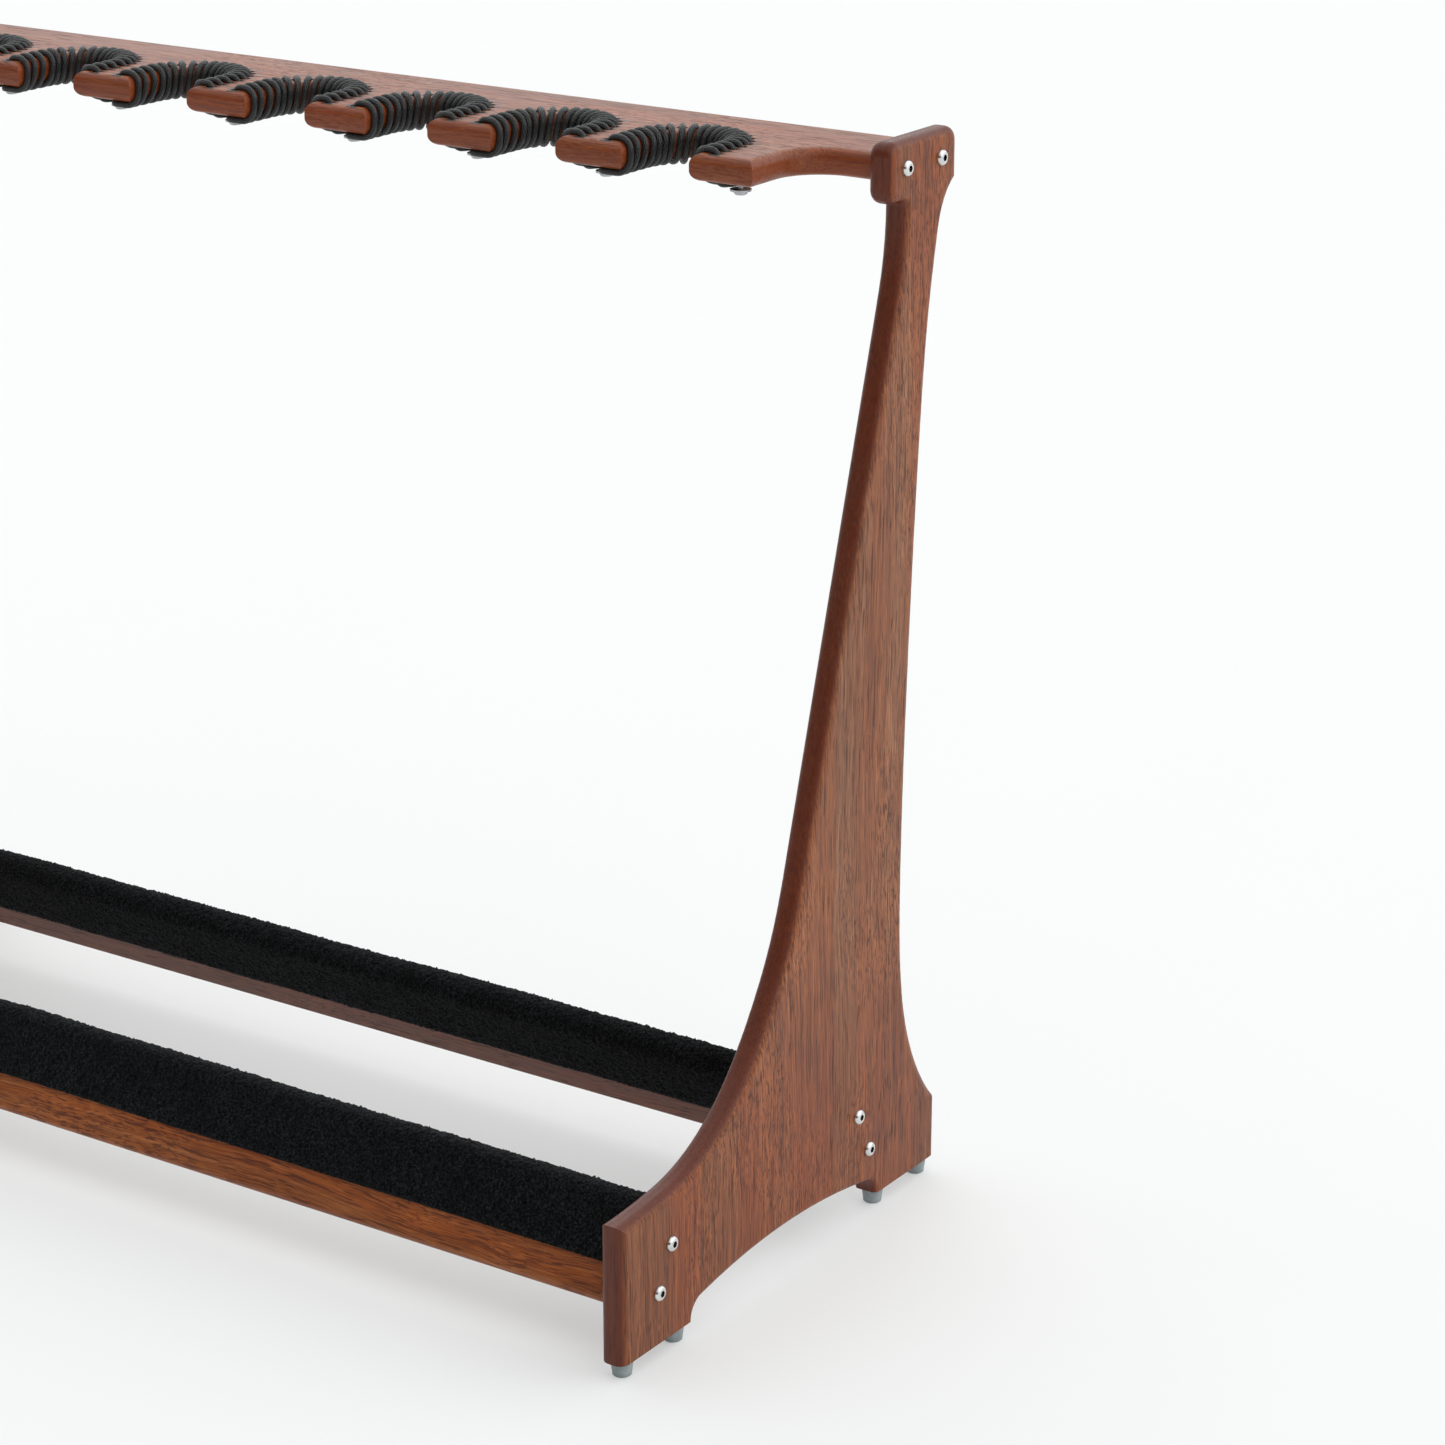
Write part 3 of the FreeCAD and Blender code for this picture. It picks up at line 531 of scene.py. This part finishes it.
def first_tail(tail_z):
    """From beside the clamp screw, round the first hole, to the side of the notch."""
    side = TAIL_SIDE - CLAMP_X
    front = FIRST_HOLE_Y - TAIL_STEP
    turn_x, turn_y = side + TAIL_TURN, front + TAIL_TURN
    back = CLAMP_Y + TAIL_OVERRUN
    points = [(side, y, tail_z) for y in steps_between(back, turn_y, TAIL_SPACING)]
    for i in range(BEND_STEPS):
        turn = math.pi / 2 * (2 + i / BEND_STEPS)
        points.append((turn_x + TAIL_TURN * math.cos(turn), turn_y + TAIL_TURN * math.sin(turn), tail_z))
    edge = BOARD_ROUND - HOLE_INSET + HOLE_LINE_R
    return points + [(x, front, tail_z) for x in steps_between(turn_x, -edge, TAIL_SPACING)]


def cord_route():
    """Centre line of one cord; both ends lie under the clamp washers of the two fingers."""
    def at(s, n, z):
        (x, y), (nx, ny) = hole_frame(s)
        return (x + nx * n, y + ny * n, z)

    tail_z = BOARD_BOTTOM_Z - CORD_LIFT
    loop = loop_section()
    first_side = BEND_STEPS + 3
    route = first_tail(tail_z)
    for n, z, share in loop[first_side:]:
        route.append(at(-TAIL_STEP * (1 - share), n, z))
    for hole in range(CORD_HOLES - 1):
        lean = rng.normal(0, STITCH_LEAN)
        slack = abs(rng.normal(0, STITCH_SLACK))
        route.append(at(hole * HOLE_STEP, 0, BOARD_MID_Z))
        for n, z, share in loop:
            swell = math.sin(math.pi * share)
            s = (hole + share) * HOLE_STEP + lean * swell
            out = slack * swell if 0 < share < 1 else 0.0
            route.append(at(s, n + out, z))
    route.append(at(HOLE_LINE, 0, BOARD_MID_Z))
    run = (CLAMP_X - TAIL_SIDE - HOLE_LINE_R, CLAMP_Y - FIRST_HOLE_Y)
    reach = math.hypot(*run)
    away = (run[0] / reach, run[1] / reach)
    stations = [(n, z) for n, z, _ in loop[:BEND_STEPS + 2]]
    straight = steps_between(CORD_BEND + TAIL_SPACING, reach + TAIL_OVERRUN, TAIL_SPACING)
    stations += [(n, tail_z) for n in straight]
    for n, z in stations:
        route.append((HOLE_LINE_R + away[0] * n, FIRST_HOLE_Y + away[1] * n, z))
    return np.array(route)


def smooth_line(points, step):
    """Cubic B-spline that follows the points, resampled at an even step."""
    padded = np.vstack([2 * points[0] - points[1], points, 2 * points[-1] - points[-2]])
    samples_per_span = 12
    t = np.linspace(0, 1, samples_per_span, endpoint=False)[:, None]
    weights = [(1 - t) ** 3 / 6, (3 * t ** 3 - 6 * t ** 2 + 4) / 6,
               (-3 * t ** 3 + 3 * t ** 2 + 3 * t + 1) / 6, t ** 3 / 6]
    runs = [sum(w * padded[i + k] for k, w in enumerate(weights)) for i in range(len(padded) - 3)]
    dense = np.vstack(runs)
    travelled = distances(dense)
    even = np.linspace(0, travelled[-1], int(travelled[-1] / step))
    return np.column_stack([np.interp(even, travelled, dense[:, k]) for k in range(3)])


def tube(name, line, material):
    """Closed cord along a line, with a shallow woven relief and UVs in length and turn."""
    count, sides = len(line), CORD_SIDES
    heading = np.gradient(line, axis=0)
    heading /= np.linalg.norm(heading, axis=1)[:, None]
    side = np.cross(heading[0], (0.0, 0.0, 1.0))
    side /= np.linalg.norm(side)
    turns = np.arange(sides) / sides
    angle = (2 * math.pi * turns)[:, None]
    weaves = np.arange(count) * np.linalg.norm(line[1] - line[0]) / BRAID_LENGTH
    rings = np.zeros((count, sides, 3))
    for i in range(count):
        side = side - heading[i] * np.dot(side, heading[i])
        side /= np.linalg.norm(side)
        other = np.cross(heading[i], side)
        woven = np.maximum(np.sin(2 * math.pi * (RELIEF_STRANDS * turns + weaves[i])),
                           np.sin(2 * math.pi * (RELIEF_STRANDS * turns - weaves[i])))
        r = CORD_R * (1 + BRAID_RELIEF * woven)[:, None]
        rings[i] = line[i] + r * (np.cos(angle) * side + np.sin(angle) * other)
    quads = [quad[::-1] for quad in ring_quads(count, sides)]
    first, last = count * sides, count * sides + 1
    base = (count - 1) * sides
    caps = [(first, (k + 1) % sides, k) for k in range(sides)]
    caps += [(last, base + k, base + (k + 1) % sides) for k in range(sides)]
    made = smooth_object(name, np.vstack([rings.reshape(-1, 3), line[:1], line[-1:]]),
                         quads + caps, material)
    mesh = made.data
    layer = mesh.uv_layers.new(name="cord")
    uv = np.zeros((len(mesh.loops), 2))
    at = 0
    for a, b in zip(weaves[:-1], weaves[1:]):
        for k in range(sides):
            u, v = k / sides, (k + 1) / sides
            uv[at:at + 4] = [(a, v), (b, v), (b, u), (a, u)]
            at += 4
    layer.data.foreach_set("uv", uv.ravel())
    return made


# ---------------------------------------------------------------- plush and foam
def blurred(field, reach):
    """Noise field smoothed along both ways, kept at unit spread."""
    for axis in (0, 1):
        window = np.hanning(2 * reach[axis] + 3)
        window /= window.sum()
        field = np.apply_along_axis(lambda row: np.convolve(row, window, mode="same"), axis, field)
    return field / field.std()


def skin(name, section, outer_count, half, columns, relief, material):
    """Closed prism along X over a closed section.

    The outer part carries the relief, which fades to a quarter over five points at its rims.
    """
    section = np.array(section)
    count = len(section)
    after = np.roll(section, -1, axis=0) - np.roll(section, 1, axis=0)
    normal = np.column_stack([-after[:, 1], after[:, 0]])
    normal /= np.linalg.norm(normal, axis=1)[:, None]
    lift = np.zeros((columns, count))
    lift[:, :outer_count] = relief(columns, outer_count)
    from_rim = np.minimum(np.arange(outer_count), np.arange(outer_count)[::-1])
    lift[:, :outer_count] *= np.clip(from_rim / 5.0, 0.25, 1)
    verts = np.zeros((columns, count, 3))
    verts[:, :, 0] = np.linspace(-half, half, columns)[:, None]
    verts[:, :, 1:] = section + normal * lift[:, :, None]
    last = (columns - 1) * count
    ends = [tuple(range(count)), tuple(last + k for k in reversed(range(count)))]
    return smooth_object(name, verts.reshape(-1, 3), ring_quads(columns, count) + ends, material)


def to_row(which, pairs):
    """(q, s) section points of a rail as (Y, Z) in mm."""
    (y, z), lean = RAILS[which]
    return [(y + Y_SHIFT + s * math.sin(lean) - q * math.cos(lean),
             z + s * math.cos(lean) + q * math.sin(lean)) for q, s in pairs]


def evenly(points, step):
    """The same open outline with points an even step apart."""
    points = np.array(points)
    travelled = distances(points)
    even = np.linspace(0, travelled[-1], int(travelled[-1] / step) + 1)
    return list(zip(*(np.interp(even, travelled, points[:, k]) for k in range(2))))


def dome(half, base, top, steps=24):
    """Rounded top from (half, base) over (0, top) to (-half, base)."""
    return [(half * math.cos(math.pi * i / steps), base + (top - base) * math.sin(math.pi * i / steps))
            for i in range(steps + 1)]


def plush_cover(which, material):
    """Plush wrapped over the padded edge of a rail, with its pile as fine relief."""
    low, top = PLUSH_START, PLUSH_TOPS[which]
    lip = [(PLUSH_INNER, low + 0.6), (PLUSH_INNER + 1.4, low - 0.3), (PLUSH_OUTER - 0.5, low + 0.6)]
    outside = lip + [(PLUSH_OUTER, low + 3.0)] + dome(PLUSH_OUTER + 0.15, RAIL_HALF + 1.0, top)
    outside += [(-PLUSH_OUTER, low + 3.0)] + [(-q, s) for q, s in reversed(lip)]
    outer = evenly(outside, PLUSH_GRAIN)
    inner = [(-PLUSH_INNER, low + 8.0), (-PLUSH_INNER, RAIL_HALF + 1.5)]
    inner += [(-q, s) for q, s in dome(PLUSH_INNER, RAIL_HALF + 1.8, top - PLUSH_THICK_TOP, 8)]
    inner += [(PLUSH_INNER, RAIL_HALF + 1.5), (PLUSH_INNER, low + 8.0)]
    if which == "rear":
        outer = [(-q, s) for q, s in outer][::-1]
        inner = [(-q, s) for q, s in inner][::-1]
    half = INNER_X - PLUSH_END_GAP

    def relief(n, m):
        clumps = blurred(rng.normal(0, 1, (n, m)), CLUMP_REACH)
        swells = blurred(rng.normal(0, 1, (n, m)), SWELL_REACH)
        pile = rng.random((n, m)) ** 2.2
        hairs = np.clip(rng.normal(0, 1, (n, m)) - HAIR_RARITY, 0, HAIR_LIMIT)
        return (PILE_HEIGHT * pile + HAIR_HEIGHT * hairs + CLUMP_HEIGHT * clumps
                + SWELL_HEIGHT * swells - PILE_SINK)

    return skin(which + "_plush_cover", to_row(which, outer + inner), len(outer), half,
                int(2 * half / PLUSH_GRAIN), relief, material)


def foam_core(which, material):
    """Foam with a rounded top on the upper edge of a rail, under the plush."""
    base = RAIL_HALF + 0.15
    top = PLUSH_TOPS[which] - FOAM_BELOW_PLUSH
    outline = [(FOAM_HALF, base)] + dome(FOAM_HALF, base + 1.6, top, 16) + [(-FOAM_HALF, base)]
    outer = evenly(outline, FOAM_GRAIN)
    inner = [(-FOAM_HALF / 2, base), (0.0, base), (FOAM_HALF / 2, base)]

    def relief(n, m):
        return FOAM_ROUGHNESS * rng.normal(0, 1, (n, m)) - FOAM_SINK

    return skin(which + "_foam_core", to_row(which, outer + inner), len(outer),
                INNER_X - FOAM_END_GAP, FOAM_COLUMNS, relief, material)


# ---------------------------------------------------------------- build
panel_wood = wood("panel_wood", 2, (0.31, 0.0, 0.0), rgb(0.118, 0.025, 0.006),
                  rgb(0.244, 0.066, 0.015), rgb(0.350, 0.122, 0.042), edge_axis=0,
                  end_shade=(0.88, 0.68, 0.43))
board_wood = wood("board_wood", 0, (0.0, 0.72, 0.13), rgb(0.130, 0.024, 0.005),
                  rgb(0.270, 0.060, 0.013), rgb(0.380, 0.118, 0.036), edge_axis=2,
                  edge_shade_tint=(0.80, 0.70, 0.60), holes=True)
rail_wood = wood("rail_wood", 0, (0.0, 0.24, 0.55), rgb(0.150, 0.028, 0.006),
                 rgb(0.300, 0.070, 0.013), rgb(0.410, 0.118, 0.028),
                 rear_shade=(0.44, 0.38, 0.42))
bolt_steel = steel_material("bolt_steel", (0.70, 0.70, 0.69), 0.14, 0.26)
screw_steel = steel_material("screw_steel", (0.46, 0.47, 0.48), 0.30, 0.45)
dress(panel_wood, "end_panel_right", "end_panel_left")
dress(board_wood, "neck_board")
dress(rail_wood, "front_rail", "rear_rail")
dress(bolt_steel, "neck_board_bolts", "front_rail_bolts", "rear_rail_bolts")
dress(brass_material(), "neck_board_inserts", "front_rail_inserts", "rear_rail_inserts")
dress(rubber_material(), "feet_right", "feet_left")
dress(screw_steel, "foot_screws", "cord_clamp_washers", "cord_clamp_screws")

braid = cord_material()
for number, x in enumerate(notch_xs, 1):
    route = cord_route() + np.array([x, Y_SHIFT, 0.0])
    stitched = tube("cord_wrap_%d" % number, smooth_line(route, CORD_STEP), braid)
    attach(stitched, "root")
    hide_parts("neck_cord_%d" % number)

pile = plush_material()
cells = foam_material()
for which in ("front", "rear"):
    cover = plush_cover(which, pile)
    core = foam_core(which, cells)
    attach(cover, "root")
    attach(core, "root")
    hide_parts(which + "_rail_plush")
    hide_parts(which + "_rail_foam")

# ---------------------------------------------------------------- stage, light and camera, in metres
FLOOR_HALF = 30.0
FLOOR_GLOW = 0.355
SKY_FADE = (-0.8, 0.4)      # directions along Y between which the sky brightens
SKY_STRENGTH = (0.07, 0.95)
LENS_MM = 99.8184
CLIP_END = 100.0
SENSOR_MM = 36.0
AZIMUTH = math.radians(33.945)
ELEVATION = math.radians(19.322)
CAMERA_PLACE = (1.2944 + OUTER_X * MM, -1.9999 + Y_SHIFT * MM, 1.2194)

floor_mesh = bpy.data.meshes.new("floor")
corners = [(x * FLOOR_HALF, y * FLOOR_HALF, 0) for x, y in ((-1, -1), (1, -1), (1, 1), (-1, 1))]
floor_mesh.from_pydata(corners, [], [(0, 1, 2, 3)])
floor = add_object("floor", floor_mesh)
paper = Shader("floor_paper")
speck = paper.noise(paper.place(), 3.0, 2.0, 0.5)
paper_colour = paper.mix(speck, rgb(0.525, 0.525, 0.52), rgb(0.535, 0.535, 0.53))
paper.set(Base_Color=paper_colour, Roughness=0.9, Specular_IOR_Level=0.1)
paper.set(Emission_Color=rgb(0.985, 1.0, 1.0), Emission_Strength=FLOOR_GLOW)
floor_mesh.materials.append(paper.mat)


def studio_sky():
    """A sky that is dark behind the camera and bright behind the rack."""
    world = bpy.data.worlds.new("studio")
    bpy.context.scene.world = world
    world.use_nodes = True
    tree = world.node_tree
    tree.nodes.clear()
    out = tree.nodes.new("ShaderNodeOutputWorld")
    sky = tree.nodes.new("ShaderNodeBackground")
    where = tree.nodes.new("ShaderNodeTexCoord")
    split = tree.nodes.new("ShaderNodeSeparateXYZ")
    fade = tree.nodes.new("ShaderNodeMapRange")
    tree.links.new(where.outputs["Generated"], split.inputs[0])
    tree.links.new(split.outputs[1], fade.inputs["Value"])
    tree.links.new(fade.outputs[0], sky.inputs["Strength"])
    tree.links.new(sky.outputs[0], out.inputs["Surface"])
    for i, end in enumerate(("Min", "Max")):
        fade.inputs["From " + end].default_value = SKY_FADE[i]
        fade.inputs["To " + end].default_value = SKY_STRENGTH[i]
    sky.inputs["Color"].default_value = rgb(0.955, 1.0, 1.02)


def broad_sun(name, towards, strength, spread, colour):
    """A very large, even studio light that comes from one direction; its spread is in degrees."""
    data = bpy.data.lights.new(name, "SUN")
    data.energy = strength
    data.color = colour
    data.angle = math.radians(spread)
    made = add_object(name, data)
    made.rotation_mode = "QUATERNION"
    made.rotation_quaternion = Vector(towards).to_track_quat("Z", "Y")


studio_sky()
broad_sun("key", (0.10, 0.20, 1.0), 1.34, 140.0, (1.0, 0.99, 0.985))
broad_sun("right_fill", (1.0, 0.05, 0.55), 0.70, 80.0, (1.0, 0.985, 0.98))
broad_sun("left_fill", (-0.9, 0.35, 0.6), 0.25, 80.0, (1.0, 1.0, 1.0))

camera_data = bpy.data.cameras.new("camera")
camera_data.sensor_width = SENSOR_MM
camera_data.lens = LENS_MM
camera_data.clip_end = CLIP_END
camera = add_object("camera", camera_data)
camera.location = CAMERA_PLACE
camera.rotation_euler = (math.pi / 2 - ELEVATION, 0.0, AZIMUTH)
bpy.context.scene.camera = camera
bpy.context.scene.view_settings.view_transform = "Standard"
